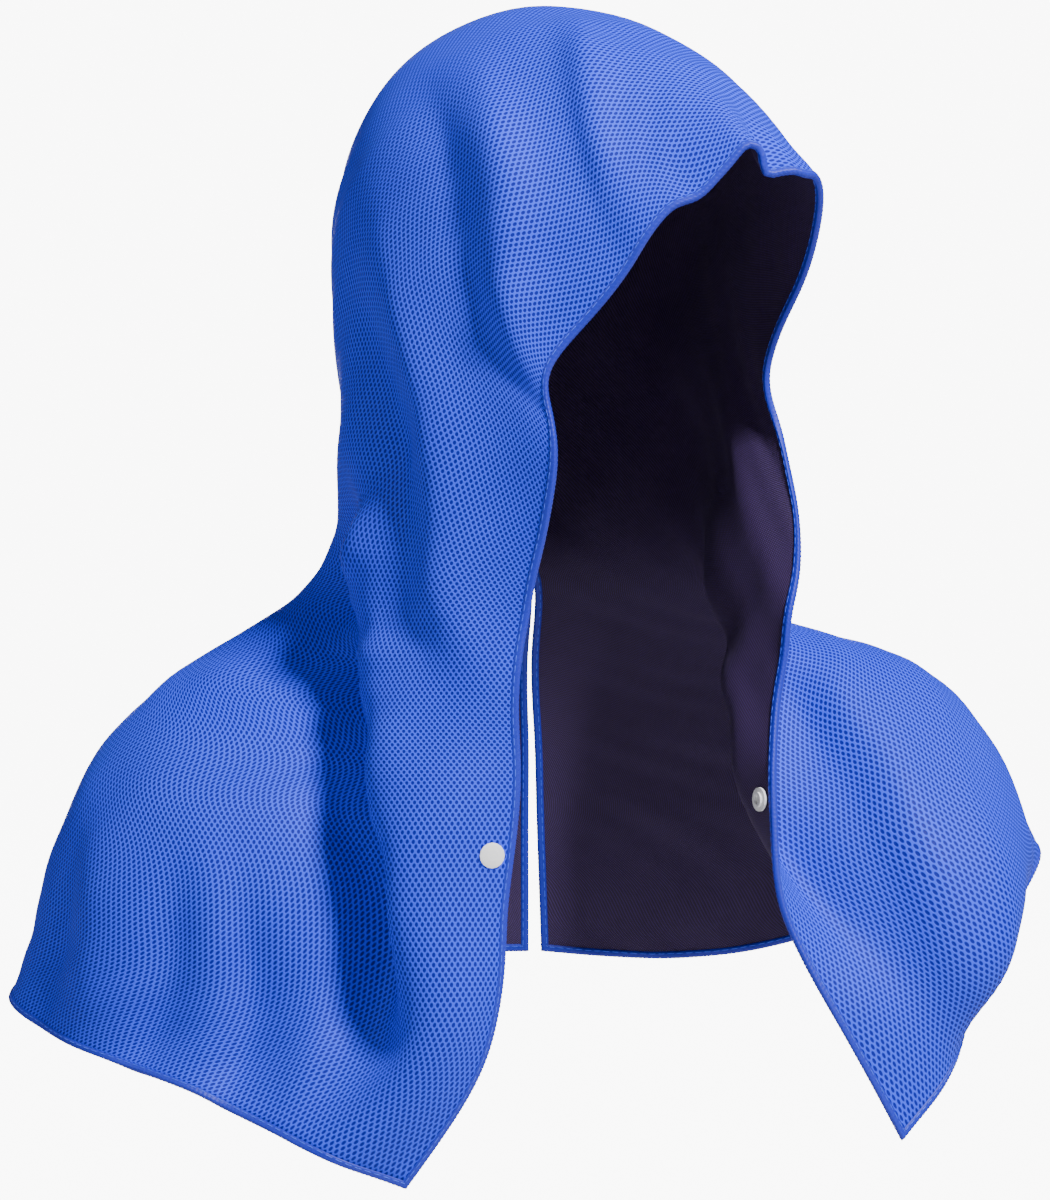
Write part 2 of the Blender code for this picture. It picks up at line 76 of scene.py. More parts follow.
# Sections round the hood, from the crown to the neck
HoodSection = namedtuple("HoodSection", "turn side back side_drop back_drop")
HOOD_SECTIONS = (
    HoodSection(38, 0.00, 0.87, 0.00, 0.25),
    HoodSection(38, 0.525, 0.95, 0.07, 0.36),
    HoodSection(38, 0.87, 1.00, 0.23, 0.48),
    HoodSection(37, 1.00, 0.99, 0.44, 0.63),
    HoodSection(33, 0.985, 0.93, 0.67, 0.78),
    HoodSection(20, 1.00, 0.83, 0.88, 0.94),
)
SLIT_SECTION = len(HOOD_SECTIONS)
SLIT_MARGIN = 0.3

# Where the front hem is at each of them
HemSection = namedtuple("HemSection", "forward side drop tuck")
HOOD_HEMS = {
    "right": (
        HemSection(0.99, 0.00, 0.325, 0.00),
        HemSection(0.86, 0.34, 0.41, 0.00),
        HemSection(0.74, 0.55, 0.56, 0.00),
        HemSection(0.60, 0.715, 0.707, 0.00),
        HemSection(0.655, 0.645, 0.833, 0.00),
        HemSection(0.67, 0.385, 1.00, 0.00),
    ),
    "left": (
        HemSection(0.99, 0.00, 0.325, 0.00),
        HemSection(1.00, 0.34, 0.365, 0.04),
        HemSection(0.80, 0.56, 0.54, 0.08),
        HemSection(0.573, 0.72, 0.693, 0.08),
        HemSection(0.585, 0.86, 0.857, 0.10),
        HemSection(0.53, 1.10, 1.017, 0.12),
    ),
}

# Sections round the cape, from the collar to the bottom hem
CapeSection = namedtuple("CapeSection", "edge ridge valley shoulder swell")
CAPE_SECTIONS = {
    "right": (
        ((0.005, -0.93, 0.530), (0.357, -0.34, 0.518), (0.283, -0.06, 0.502), (0.407, 0.26, 0.485), 0.02),
        ((0.024, -0.93, 0.596), (0.327, -0.60, 0.594), (0.242, -0.29, 0.579), (0.545, 0.19, 0.541), 0.10),
        ((0.022, -0.93, 0.674), (0.286, -0.82, 0.674), (0.215, -0.53, 0.662), (0.757, 0.16, 0.606), 0.18),
        ((0.047, -0.91, 0.778), (0.252, -0.93, 0.775), (0.225, -0.70, 0.758), (0.882, 0.14, 0.690), 0.20),
        ((0.080, -0.89, 0.888), (0.214, -0.98, 0.886), (0.262, -0.78, 0.876), (0.946, 0.13, 0.781), 0.17),
        ((0.229, -0.84, 1.000), (0.471, -0.80, 0.956), (0.613, -0.70, 0.926), (1.000, 0.11, 0.861), 0.12),
    ),
    "left": (
        ((0.483, -0.50, 0.530), (0.385, -0.20, 0.527), (0.350, -0.02, 0.518), (0.370, 0.26, 0.497), 0.02),
        ((0.465, -0.50, 0.590), (0.370, -0.26, 0.588), (0.384, -0.12, 0.579), (0.539, 0.19, 0.544), 0.10),
        ((0.451, -0.59, 0.666), (0.385, -0.38, 0.662), (0.440, -0.27, 0.652), (0.733, 0.17, 0.570), 0.14),
        ((0.468, -0.66, 0.773), (0.500, -0.44, 0.758), (0.600, -0.46, 0.738), (0.877, 0.16, 0.628), 0.24),
        ((0.566, -0.69, 0.865), (0.680, -0.58, 0.845), (0.790, -0.56, 0.832), (0.941, 0.14, 0.689), 0.18),
        ((0.687, -0.64, 0.965), (0.770, -0.48, 0.923), (0.814, -0.30, 0.883), (0.980, 0.13, 0.741), -0.05),
    ),
}

# Where the slit's two edges are at the cape's sections
SLIT_HALF_GAP = 0.0054
BackSection = namedtuple("BackSection", "depth drop gap_right gap_left")
BACK_SECTIONS = (
    BackSection(0.70, 0.485, 0.34, 0.22),
    BackSection(0.84, 0.555, 0.34, 0.38),
    BackSection(0.94, 0.635, 0.34, 0.62),
    BackSection(0.985, 0.707, 0.34, 0.89),
    BackSection(1.00, 0.775, 0.34, 1.17),
    BackSection(1.005, 0.836, 0.34, 1.42),
)

# The peak of the brim and the dips beside it: the section where each is, its half width in sections, and
# how far it moves the hem to the left and up, as shares of NOTCH_HEIGHT. They fade out across the sheet.
Pleat = namedtuple("Pleat", "section half_width left up")
BRIM_PLEATS = (
    Pleat(-0.72, 0.26, 0.00, -0.80),
    Pleat(-0.10, 0.20, -0.30, 0.60),
    Pleat(0.27, 0.17, -0.90, -1.10),
    Pleat(0.60, 0.26, 0.00, -0.75),
)
PLEAT_REACH = 0.10
SEAM_FADE = 0.12

# Folds that run down the sheet, the solids' own first and then the finer ones that only show here
Fold = namedtuple("Fold", "begins ends place_first place_middle place_last front_width back_width height")
FOLDS = (
    Fold(-0.2, -1.8, 0.45, 0.23, 0.03, 0.100, 0.045, 0.80),
    Fold(-1.0, -3.8, 0.47, 0.19, 0.02, 0.085, 0.080, 1.20),
    Fold(-2.4, -7.6, 0.48, 0.205, -0.02, 0.090, 0.060, 1.10),
    Fold(-8.8, -11.1, 0.44, 0.385, 0.32, 0.055, 0.040, 0.55),
    Fold(-8.8, -11.1, 0.34, 0.27, 0.195, 0.050, 0.038, 0.65),
    Fold(-8.8, -11.1, 0.31, 0.205, 0.10, 0.045, 0.035, 0.60),
    Fold(6.4, 10.8, 0.35, 0.225, 0.12, 0.045, 0.080, 0.85),
    Fold(8.6, 11.0, 0.30, 0.215, 0.10, 0.035, 0.060, 0.45),
)
FINE_FOLDS = (
    Fold(-1.3, -3.9, 0.56, 0.28, 0.11, 0.060, 0.060, -0.50),
    Fold(-3.0, -7.4, 0.56, 0.27, 0.05, 0.045, 0.065, -0.60),
    Fold(-5.1, -5.8, 0.38, 0.37, 0.36, 0.060, 0.060, 0.40),
    Fold(-5.5, -6.5, 0.35, 0.34, 0.31, 0.080, 0.080, -0.90),
    Fold(-6.4, -7.4, 0.25, 0.235, 0.20, 0.060, 0.060, -0.55),
    Fold(-7.2, -8.9, 0.19, 0.14, 0.10, 0.040, 0.040, 0.35),
    Fold(-7.6, -10.4, 0.36, 0.20, 0.09, 0.030, 0.030, -0.60),
    Fold(-0.1, -1.4, 0.30, 0.16, 0.03, 0.018, 0.018, 0.07),
    Fold(-0.1, -1.2, 0.22, 0.11, 0.03, 0.016, 0.016, 0.06),
    Fold(-5.3, -8.2, 0.30, 0.19, 0.09, 0.022, 0.018, 0.10),
    Fold(-8.7, -11.4, 0.47, 0.425, 0.37, 0.030, 0.030, -0.70),
    Fold(-8.7, -11.4, 0.37, 0.305, 0.25, 0.026, 0.022, -0.90),
    Fold(-8.7, -11.4, 0.33, 0.235, 0.15, 0.022, 0.020, -0.80),
    Fold(-8.6, -11.3, 0.26, 0.180, 0.10, 0.020, 0.028, 0.70),
    Fold(6.6, 10.8, 0.29, 0.17, 0.07, 0.040, 0.030, -0.35),
)

# The finish of the sheet: how finely it is divided, and its small unevenness
FINE_ROWS = 12
FINE_COLUMNS = 110
CURVE_STEPS = 24
RIPPLE_HEIGHT = 0.0006
Wave = namedtuple("Wave", "turn length phase")
RIPPLES = (
    Wave(0.3, 0.075, 0.0),
    Wave(1.2, 0.052, 1.7),
    Wave(2.3, 0.061, 4.1),
    Wave(0.9, 0.034, 2.2),
)
SEAM_DIP = 0.0011

# The stitched edge
EDGE_LEG = 0.0031
EDGE_PADDING = 0.0007
EDGE_STATION = 0.0006
EDGE_TAPER = 0.0004
EDGE_SLOPE = 0.0001
EDGE_BULGE = 0.55
EDGE_TURNS = (0.0, 0.6, 1.2, pi / 2)
THREAD_PITCH = 0.0026
THREAD_RELIEF = 0.00026
THREAD_SLANT = 1.5
THREAD_LEVEL = 0.6
STITCH_LENGTH = 0.0042
STITCH_GAP = 0.0014
STITCH_RADIUS = 0.00028
STITCH_INSET = 0.0022
STITCH_SIDES = 5
STITCH_SHARES = np.array((0.0, 0.2, 0.8, 1.0))
STITCH_FAT = (0.35, 1.0, 1.0, 0.35)
SEAM_INSET = 0.0036

# The camera stands where the photograph was taken from
CAMERA_PLACE = (-0.003, -2.400, -0.335)
PHOTO_SIZE = (1050, 1200)
PHOTO_SCALE = 0.00057


def hood_row(hand, index):
    """One section round the hood as points by column name, from the hem to the back seam."""
    section = HOOD_SECTIONS[index]
    hem = HOOD_HEMS[hand][index]
    turn = radians(section.turn)
    forward = np.array((sin(turn), -cos(turn), 0.0))
    sideways = HANDS[hand] * np.array((cos(turn), sin(turn), 0.0))
    up = np.array((0.0, 0.0, 1.0))
    side = section.side * HOOD_HALF_WIDTH
    back = section.back * HOOD_BACK_REACH
    side_drop = section.side_drop * NECK_DROP
    back_drop = section.back_drop * NECK_DROP
    reach = hem.forward * BRIM_REACH
    edge = reach * forward + hem.side * HOOD_HALF_WIDTH * sideways - hem.drop * NECK_DROP * up
    temple = side * sideways - side_drop * up
    brow = temple + CHEEK_REACH * reach * forward
    t = CHEEK_PLACE
    cheek = (1 - t) ** 2 * temple + 2 * t * (1 - t) * brow + t ** 2 * edge
    points = {"edge": edge, "cheek": cheek - hem.tuck * HOOD_HALF_WIDTH * sideways}
    for name, degrees in RING_ANGLES.items():
        around = sin(radians(degrees))
        drop = back_drop + (side_drop - back_drop) * around
        points[name] = side * around * sideways - back * cos(radians(degrees)) * forward - drop * up
    return points


def cape_point(hand, shares):
    """A point of the cape from its shares of the shoulder's reach, the body's depth and the drop."""
    out, backwards, down = shares
    return np.array((HANDS[hand] * out * SHOULDER_REACH, backwards * BODY_DEPTH, -down * CAPE_DROP))


def swollen(first, second, place, share):
    """A place between two points, pushed towards the chest's side by a share of their distance."""
    along = second - first
    push = np.array((along[1], -along[0], 0.0))
    if push[1] > 0:
        push = -push
    return first + place * along + share * push


def cape_row(hand, index):
    """One section round the cape as points by column name, from the hem to the slit."""
    section = CapeSection(*CAPE_SECTIONS[hand][index])
    rear = BACK_SECTIONS[index]
    named = ("edge", "ridge", "valley", "shoulder")
    points = {name: cape_point(hand, getattr(section, name)) for name in named}
    points["cheek"] = swollen(points["edge"], points["ridge"], CHEEK_ALONG, CHEEK_SWELL[hand])
    points["breast"] = swollen(points["valley"], points["shoulder"], BREAST_ALONG, section.swell)
    gap = rear.gap_right if hand == "right" else rear.gap_left
    back = np.array((HANDS[hand] * gap * SLIT_HALF_GAP, rear.depth * BODY_DEPTH, -rear.drop * CAPE_DROP))
    shoulder = points["shoulder"]
    blade_depth = shoulder[1] + BLADE_BACK * (back[1] - shoulder[1])
    blade_height = shoulder[2] + BLADE_DROP * (back[2] - shoulder[2])
    points["blade"] = np.array((BLADE_OUT * shoulder[0], blade_depth, blade_height))
    points["back"] = back
    return points


def section_net():
    """The points of every section, from the right bottom hem over the crown to the left one."""
    hands = {}
    for hand in HANDS:
        hood = [hood_row(hand, index) for index in range(len(HOOD_SECTIONS))]
        cape = [cape_row(hand, index) for index in range(len(BACK_SECTIONS))]
        hands[hand] = hood + cape
    rows = hands["right"][::-1] + hands["left"][1:]
    return np.array([[row[name] for name in COLUMNS] for row in rows])


def spline_basis(knots, places):
    """Weights that turn the values at the knots into a natural cubic's values at the places."""
    gaps = np.diff(knots)
    count = len(knots)
    system = np.eye(count)
    slopes = np.zeros((count, count))
    for k in range(1, count - 1):
        system[k, k - 1:k + 2] = gaps[k - 1], 2 * (gaps[k - 1] + gaps[k]), gaps[k]
        slopes[k, k - 1:k + 2] = 6 / gaps[k - 1], -6 / gaps[k - 1] - 6 / gaps[k], 6 / gaps[k]
    bends = np.linalg.solve(system, slopes)
    values = np.eye(count)
    span = np.clip(np.searchsorted(knots, places, side="right") - 1, 0, count - 2)
    width = gaps[span][:, None]
    t = (places - knots[span])[:, None] / width
    s = 1 - t
    bend = width ** 2 / 6 * ((s ** 3 - s) * bends[span] + (t ** 3 - t) * bends[span + 1])
    return s * values[span] + t * values[span + 1] + bend


def lengths_along(points):
    """How far along its polyline each point lies."""
    steps = np.linalg.norm(np.diff(points, axis=0), axis=1)
    return np.concatenate(([0.0], np.cumsum(steps)))


def unit(vectors):
    """The same vectors at length one."""
    return vectors / np.maximum(np.linalg.norm(vectors, axis=-1, keepdims=True), 1e-12)


def across(points):
    """One section's columns, evenly spaced along its curve."""
    knots = lengths_along(points)
    steps = [np.linspace(a, b, CURVE_STEPS, endpoint=False) for a, b in zip(knots, knots[1:])]
    fine = np.concatenate(steps + [knots[-1:]])
    length = lengths_along(spline_basis(knots, fine) @ points)
    wanted = np.linspace(0.0, length[-1], FINE_COLUMNS)
    return spline_basis(knots, np.interp(wanted, length, fine)) @ points


def fold_heights(sections, shares):
    """How far each point of the sheet is lifted by the folds."""
    lift = np.zeros_like(shares)
    for fold in FOLDS + FINE_FOLDS:
        run = (sections - fold.begins) / (fold.ends - fold.begins)
        fade = np.clip(FOLD_FADE * np.minimum(run, 1 - run), 0.0, 1.0)
        crest = fade ** 2 * (3 - 2 * fade)
        place = fold.place_first * (1 - run) * (1 - 2 * run) + fold.place_last * run * (2 * run - 1)
        place += fold.place_middle * 4 * run * (1 - run)
        off = shares - place[:, None]
        off /= np.where(off < 0, fold.front_width, fold.back_width)
        lift += fold.height * FOLD_HEIGHT * crest[:, None] * np.exp(-np.abs(off) ** FOLD_POWER)
    return lift


def grid_normals(grid):
    """The outward normals of a grid of points."""
    return unit(np.cross(np.gradient(grid, axis=0), np.gradient(grid, axis=1)))


def brim_pleats(grid, sections, shares):
    """Pinches the brim's hem into its peak and the dips to either side of it."""
    for pleat in BRIM_PLEATS:
        place = (sections[:, None] - pleat.section) / pleat.half_width
        fade = np.exp(-place ** 2 - (shares / PLEAT_REACH) ** 2)
        grid[..., 0] += pleat.left * NOTCH_HEIGHT * fade
        grid[..., 2] += pleat.up * NOTCH_HEIGHT * fade


def ripples(lengths, widths):
    """The cloth's own small unevenness, as a sum of long waves."""
    total = np.zeros_like(lengths)
    for wave in RIPPLES:
        along = lengths * cos(wave.turn) + widths * sin(wave.turn)
        total += np.sin(2 * pi * along / wave.length + wave.phase)
    return RIPPLE_HEIGHT * total / 2


def sheet_grid():
    """The middle of the sheet, its places along and across in metres, and which rows share the back seam."""
    net = np.array([across(points) for points in section_net()])
    chords = np.linalg.norm(np.diff(net, axis=0), axis=2).mean(axis=1)
    stations = np.concatenate(([0.0], np.cumsum(chords)))
    rows = [np.linspace(a, b, FINE_ROWS, endpoint=False) for a, b in zip(stations, stations[1:])]
    places = np.concatenate(rows + [stations[-1:]])
    middle = (len(stations) - 1) / 2
    sections = np.interp(places, stations, np.arange(len(stations)) - middle)
    grid = np.einsum("pk,kcd->pcd", spline_basis(stations, places), net)
    widths = np.array([lengths_along(row) for row in grid])
    shares = widths / widths[:, -1:]
    lengths = np.repeat(places[:, None], FINE_COLUMNS, axis=1)
    seam_fade = np.clip((1 - shares) / SEAM_FADE, 0.0, 1.0)
    lift = (fold_heights(sections, shares) + ripples(lengths, widths)) * seam_fade
    grid += grid_normals(grid) * lift[..., None]
    brim_pleats(grid, sections, shares)
    joined = np.abs(sections) < SLIT_SECTION - SLIT_MARGIN
    normals = grid_normals(grid)[:, -1]
    seam = (grid[:, -1] + grid[::-1, -1]) / 2 - SEAM_DIP * unit(normals + normals[::-1])
    grid[joined, -1] = seam[joined]
    return grid, sections, joined, lengths, widths


def mesh_from(name, points, faces, smooth=True):
    """A mesh from arrays."""
    mesh = bpy.data.meshes.new(name)
    mesh.from_pydata(np.asarray(points).tolist(), [], np.asarray(faces).tolist())
    mesh.update()
    mesh.polygons.foreach_set("use_smooth", [smooth] * len(mesh.polygons))
    return mesh


def add_piece(name, mesh, material, slot, *nodes):
    """A piece of the object that stands for solids of the frame."""
    mesh.materials.append(material)
    piece = bpy.data.objects.new(name, mesh)
    bpy.context.collection.objects.link(piece)
    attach(piece, "root")
    if nodes:
        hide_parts(*nodes)
    return piece


def sheet_mesh(name, grid, joined, lengths, widths):
    """The grid as a mesh that closes along the back seam, with its places in metres as coordinates."""
    rows, columns = grid.shape[:2]
    plain = np.arange(rows * columns).reshape(rows, columns)
    shared = plain.copy()
    for row in range(rows // 2):
        if joined[row]:
            shared[rows - 1 - row, -1] = plain[row, -1]
    used, inverse = np.unique(shared, return_inverse=True)
    shared = inverse.reshape(rows, columns)

    def corners(index):
        around = (index[:-1, :-1], index[1:, :-1], index[1:, 1:], index[:-1, 1:])
        return np.stack(around, axis=-1).reshape(-1, 4)

    mesh = mesh_from(name, grid.reshape(-1, 3)[used], corners(shared))
    places = np.stack((widths, lengths), axis=-1).reshape(-1, 2)[corners(plain).ravel()]
    weave = mesh.uv_layers.new(name="weave")
    weave.data.foreach_set("uv", places.astype(np.float32).ravel())
    normals = np.array([vertex.normal for vertex in mesh.vertices])
    return mesh, normals, shared


def cloth_layer(name, node, sheet, side, wall, material, slot):
    """One face of the double cloth as a closed wall, on one side of the sheet's middle."""
    mesh, normals, _ = sheet_mesh(name, *sheet)
    for vertex, normal in zip(mesh.vertices, normals):
        vertex.co += Vector(normal) * side * CLOTH_GAP / 2
    layer = add_piece(name, mesh, material, slot, node)
    solid = layer.modifiers.new("wall", "SOLIDIFY")
    solid.thickness = wall
    solid.offset = side
    solid.use_even_offset = False
    return layer


def hem_frames(grid, sections, joined, lengths, widths):
    """The cut edge as points with their inward ways and outward normals, from one side of the slit's top
    round to the other."""
    mesh, normals, index = sheet_mesh("middle", grid, joined, lengths, widths)
    bpy.data.meshes.remove(mesh)
    last = grid.shape[1] - 1
    bottom = grid.shape[0] - 1
    top = int(np.argmin(np.abs(sections + SLIT_SECTION)))
    path = [(row, last) for row in range(top, 0, -1)]
    path += [(0, column) for column in range(last, 0, -1)]
    path += [(row, 0) for row in range(bottom)]
    path += [(bottom, column) for column in range(last)]
    path += [(row, last) for row in range(bottom, bottom - top - 1, -1)]
    points, ways, outs = [], [], []
    for row, column in path:
        here = grid[row, column]
        way = np.zeros(3)
        if column in (0, last):
            way += unit(grid[row, 2 if column == 0 else last - 2] - here)
        if row in (0, bottom):
            way += unit(grid[2 if row == 0 else bottom - 2, column] - here)
        points.append(here)
        ways.append(way)
        outs.append(normals[index[row, column]])
    return np.array(points), np.array(ways), np.array(outs)


def resampled(run, places, values):
    """Values along a run, read at even places."""
    return np.stack([np.interp(places, run, values[:, axis]) for axis in range(3)], axis=1)


def stitched_edge(frames, material):
    """The overlock: a padded band round the cut edge, ridged by the thread that is wound over it."""
    points, ways, outs = frames
    run = lengths_along(points)
    places = np.arange(0.0, run[-1], EDGE_STATION)
    points, ways, outs = (resampled(run, places, values) for values in (points, ways, outs))
    half = CLOTH_GAP / 2 + max(CLOTH_WALL, LINING_WALL)
    thick = half + EDGE_PADDING
    profile = [(EDGE_LEG + EDGE_TAPER, half), (EDGE_LEG, thick - EDGE_SLOPE)]
    profile += [(0.6 * EDGE_LEG, thick), (0.25 * EDGE_LEG, thick)]
    profile += [(-thick * EDGE_BULGE * sin(turn), thick * cos(turn)) for turn in EDGE_TURNS]
    profile += [(inset, -height) for inset, height in profile[-2::-1]]
    count = len(profile)
    around = np.linspace(0.0, 1.0, count)
    rings = np.zeros((len(places), count, 3))
    for k, (inset, height) in enumerate(profile):
        wound = np.abs(np.sin(pi * (places / THREAD_PITCH + THREAD_SLANT * abs(2 * around[k] - 1))))
        relief = THREAD_RELIEF * (wound - THREAD_LEVEL) * (0 < k < count - 1)
        scale = 1 + relief / thick
        rings[:, k] = points + inset * ways + (height * scale)[:, None] * outs
        if inset <= 0:
            rings[:, k] -= relief[:, None] * ways
    index = np.arange(len(places) * count).reshape(len(places), count)
    faces = np.stack((index[:-1, :-1], index[:-1, 1:], index[1:, 1:], index[1:, :-1]), axis=-1).reshape(-1, 4)
    mesh = mesh_from("stitched_edge", rings.reshape(-1, 3), faces)
    return add_piece("stitched_edge", mesh, material, "edge_blue", "edge_overlock")


def seam_frames(grid, sections, joined, lengths, widths):
    """The back seam on either hand from the slit to the crown, with its ways forward and outward normals."""
    mesh, normals, index = sheet_mesh("middle", grid, joined, lengths, widths)
    bpy.data.meshes.remove(mesh)
    runs = []
    for hand in HANDS.values():
        rows = np.nonzero(joined & (hand * sections > 0.1))[0]
        points = grid[rows, -1]
        runs.append((points, unit(grid[rows, -3] - points), normals[index[rows, -1]]))
    return runs


def needle_stitches(edge_run, seam_runs, material):
    """The needle thread's straight stitches, in a dashed line on both faces of the edge and by the seam."""
    vertices, faces = [], []
    edge_top = CLOTH_GAP / 2 + CLOTH_WALL + EDGE_PADDING
    add_stitches(edge_run, 1, edge_top, STITCH_INSET, vertices, faces)
    add_stitches(edge_run, -1, edge_top, STITCH_INSET, vertices, faces)
    for run in seam_runs:
        add_stitches(run, 1, CLOTH_GAP / 2 + CLOTH_WALL, SEAM_INSET, vertices, faces)
    mesh = mesh_from("needle_stitches", vertices, faces)
    return add_piece("needle_stitches", mesh, material, "edge_blue")


def add_stitches(run, face, height, inset, vertices, faces):
    """Stitches one after another along a run, on one face of the cloth."""
    length = lengths_along(run[0])
    step = STITCH_LENGTH + STITCH_GAP
    for start in np.arange(step, length[-1] - step, step):
        places = start + STITCH_SHARES * STITCH_LENGTH
        here, way, out = (resampled(length, places, values) for values in run)
        centre = here + inset * way + face * (height - 0.2 * STITCH_RADIUS) * out
        first = len(vertices)
        for k, fat in enumerate(STITCH_FAT):
            for side in range(STITCH_SIDES):
                angle = 2 * pi * side / STITCH_SIDES
                spread = cos(angle) * unit(way[k]) + sin(angle) * face * out[k]
                vertices.append(centre[k] + fat * STITCH_RADIUS * spread)
        for k in range(len(STITCH_FAT) - 1):
            for side in range(STITCH_SIDES):
                a = first + k * STITCH_SIDES + side
                b = first + k * STITCH_SIDES + (side + 1) % STITCH_SIDES
                faces.append((a, b, b + STITCH_SIDES, a + STITCH_SIDES))


class Nodes:
    """A short way to write a node tree."""

    def __init__(self, tree):
        self.tree = tree

    def add(self, kind, **settings):
        node = self.tree.nodes.new(kind)
        for key, value in settings.items():
            setattr(node, key, value)
        return node

    def put(self, socket, value):
        if isinstance(value, bpy.types.NodeSocket):
            self.tree.links.new(value, socket)
        else:
            socket.default_value = value

    def math(self, operation, first, second=0.0, clamp=False):
        node = self.add("ShaderNodeMath", operation=operation, use_clamp=clamp)
        self.put(node.inputs[0], first)
        self.put(node.inputs[1], second)
        return node.outputs[0]

    def mix(self, share, first, second):
        node = self.add("ShaderNodeMix", data_type="RGBA")
        self.put(node.inputs["Factor"], share)
        self.put(node.inputs[6], first)
        self.put(node.inputs[7], second)
        return node.outputs[2]

    def smooth(self, value, low, high):
        node = self.add("ShaderNodeMapRange", interpolation_type="SMOOTHSTEP")
        self.put(node.inputs["Value"], value)
        node.inputs["From Min"].default_value = low
        node.inputs["From Max"].default_value = high
        return node.outputs["Result"]

    def noise(self, vector, scale, detail=2.0):
        node = self.add("ShaderNodeTexNoise")
        self.put(node.inputs["Vector"], vector)
        node.inputs["Scale"].default_value = scale
        node.inputs["Detail"].default_value = detail
        return node.outputs["Fac"]


class Surface(Nodes):
    """A material with its shader."""

    def __init__(self, name):
        self.material = bpy.data.materials.new(name)
        self.material.use_nodes = True
        super().__init__(self.material.node_tree)
        self.shader = self.tree.nodes["Principled BSDF"]

    def bump(self, height, distance, strength):
        node = self.add("ShaderNodeBump")
        self.put(node.inputs["Height"], height)
        node.inputs["Distance"].default_value = distance
        node.inputs["Strength"].default_value = strength
        self.tree.links.new(node.outputs["Normal"], self.shader.inputs["Normal"])

    def wave(self, place, pitch):
        turn = self.math("SINE", self.math("MULTIPLY", place, 2 * pi / pitch))
        return self.math("MULTIPLY", self.math("ADD", turn, 1.0), 0.5)

    def relief(self, form, fibre):
        return self.math("ADD", self.math("MULTIPLY", form, 0.8), self.math("MULTIPLY", fibre, 0.2))

    def gloss(self, roughness, sheen=0.0, sheen_roughness=0.5, tint=(1.0, 1.0, 1.0, 1.0)):
        self.shader.inputs["Roughness"].default_value = roughness
        self.shader.inputs["Sheen Weight"].default_value = sheen
        self.shader.inputs["Sheen Roughness"].default_value = sheen_roughness
        self.shader.inputs["Sheen Tint"].default_value = tint


def weave_places(nodes):
    """The cloth's own coordinates, across and along, in metres."""
    places = nodes.add("ShaderNodeUVMap", uv_map="weave")
    split = nodes.add("ShaderNodeSeparateXYZ")
    nodes.put(split.inputs[0], places.outputs["UV"])
    return places.outputs["UV"], split.outputs["X"], split.outputs["Y"]


# The materials: sizes in metres, colours as red, green, blue and opacity
HOLE_ACROSS = 0.0032
HOLE_ALONG = 0.0046
HOLE_SQUASH = 1.1
HOLE_RIM = (0.19, 0.33)
# Painted light in the air mesh: the yarn's fibre speckle mixes a shaded and a lit tone, and the holes' deep
# blue is painted shade in the openings.
YARN_SHADED = (0.008, 0.028, 0.95, 1.0)
YARN_LIT = (0.046, 0.105, 1.0, 1.0)
YARN_MEAN = (0.018, 0.048, 1.0, 1.0)
HOLE_SHADE_COLOUR = (0.0002, 0.0010, 0.25, 1.0)
YARN_SHEEN = (0.45, 0.62, 1.0, 1.0)
TWILL_PITCH = 0.0019
TWILL_CROSS = 0.0013
TWILL_SLOPE = 0.8
LINING_GROUND = (0.013, 0.002, 0.016, 1.0)
# The crest colour is painted highlight: a lighter purple where the twill's crests would catch the light.
LINING_CREST_HIGHLIGHT = (0.066, 0.024, 0.220, 1.0)
LINING_SHEEN = (0.60, 0.50, 0.85, 1.0)
YARN_FIBRE = 2600.0
TWILL_FIBRE = 3000.0
THREAD_FIBRE = 1800.0
CLOUDS = 22.0
SNAP_CLOUDS = 320.0
EDGE_COLOURS = ((0.0010, 0.005, 0.30, 1.0), (0.004, 0.016, 0.60, 1.0))
NEEDLE_COLOURS = ((0.015, 0.050, 0.80, 1.0), (0.060, 0.140, 0.95, 1.0))
SNAP_COLOURS = ((0.90, 0.90, 0.91, 1.0), (0.84, 0.84, 0.86, 1.0))
FLOOR_COLOUR = (0.80, 0.80, 0.81, 1.0)


def mesh_material():
    """Air mesh: rows of small holes set between one another, in blue yarn; the holes' deep blue is painted
    shade, and the yarn's speckle of a lit and a shaded tone is painted highlight and shade.
    """
    surface = Surface("mesh_blue")
    places, across_place, along_place = weave_places(surface)
    distances = []
    for shift in (0.0, 0.5):
        column = surface.math("ADD", surface.math("DIVIDE", across_place, HOLE_ACROSS), shift)
        row = surface.math("ADD", surface.math("DIVIDE", along_place, HOLE_ALONG), shift)
        off_x = surface.math("SUBTRACT", surface.math("FRACT", column), 0.5)
        off_y = surface.math("SUBTRACT", surface.math("FRACT", row), 0.5)
        off_y = surface.math("MULTIPLY", off_y, HOLE_SQUASH)
        square = surface.math("MULTIPLY", off_x, off_x)
        square = surface.math("ADD", square, surface.math("MULTIPLY", off_y, off_y))
        distances.append(surface.math("SQRT", square))
    yarn = surface.smooth(surface.math("MINIMUM", *distances), *HOLE_RIM)
    fibre = surface.noise(places, YARN_FIBRE, 1.0)
    cloudy = surface.noise(places, CLOUDS, 3.0)
    # The yarn's lit and shaded speckle is painted highlight and shade; the holes get painted shade.
    threads = surface.mix(cloudy, surface.mix(fibre, YARN_SHADED, YARN_LIT), YARN_MEAN)
    surface.put(surface.shader.inputs["Base Color"], surface.mix(yarn, HOLE_SHADE_COLOUR, threads))
    surface.shader.inputs["Specular IOR Level"].default_value = 0.22
    surface.gloss(roughness=0.62, sheen=0.04, tint=YARN_SHEEN)
    surface.bump(surface.relief(yarn, fibre), distance=0.0006, strength=0.7)
    return surface.material


